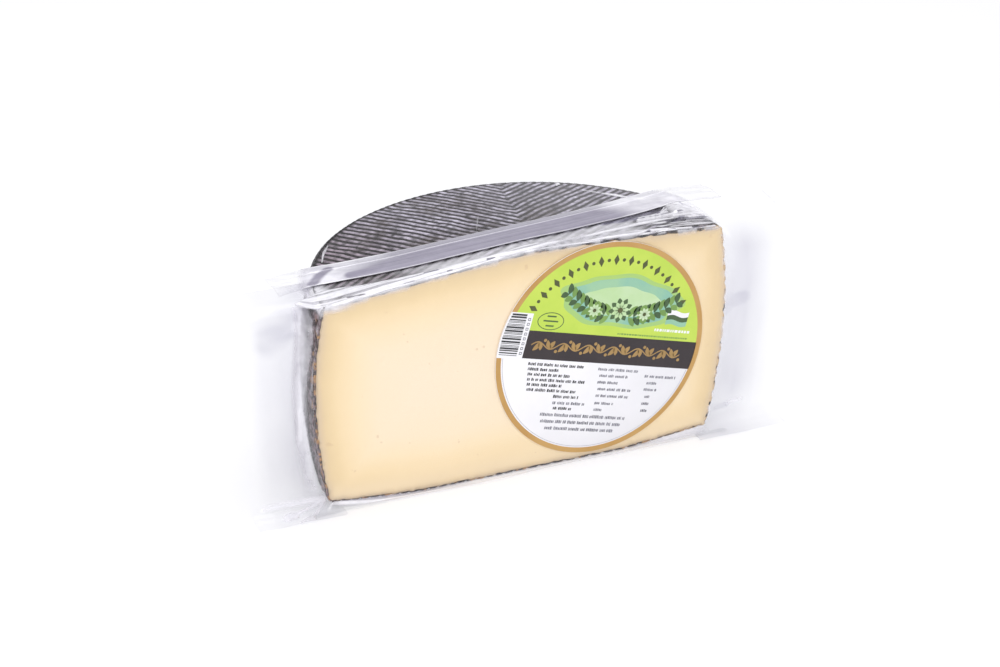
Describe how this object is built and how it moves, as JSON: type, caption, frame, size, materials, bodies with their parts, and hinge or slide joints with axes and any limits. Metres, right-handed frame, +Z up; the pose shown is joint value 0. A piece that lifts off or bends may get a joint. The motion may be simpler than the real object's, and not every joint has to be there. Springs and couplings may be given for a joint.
{
  "type": "vacuum-packed half wheel of aged sheep cheese",
  "caption": "Half wheel of aged sheep cheese with a herringbone rind, sealed in a clear vacuum pouch with a round label on the cut.",
  "frame": {"origin": "centre of the part's bounding box in plan, at the height of the surface it rests on", "axes": "+X along the cut face to the right as the label is read, +Y from the cut face back into the half wheel, +Z up"},
  "size_m": [0.2532, 0.1032, 0.105],
  "materials": {
    "packed_cheese": "cream cheese seen through glossy clear film",
    "cheese_paste": "firm cream paste, more amber towards the rind, waxy sheen",
    "cheese_rind": "dark grey-brown rind with rubbed grey ridges",
    "clear_film": "clear glossy pouch film with creases",
    "label_paper": "printed satin paper"
  },
  "bodies": {
    "root": {"vacuum_pack": "packed_cheese", "round_label": "label_paper"}
  },
  "joints": []
}
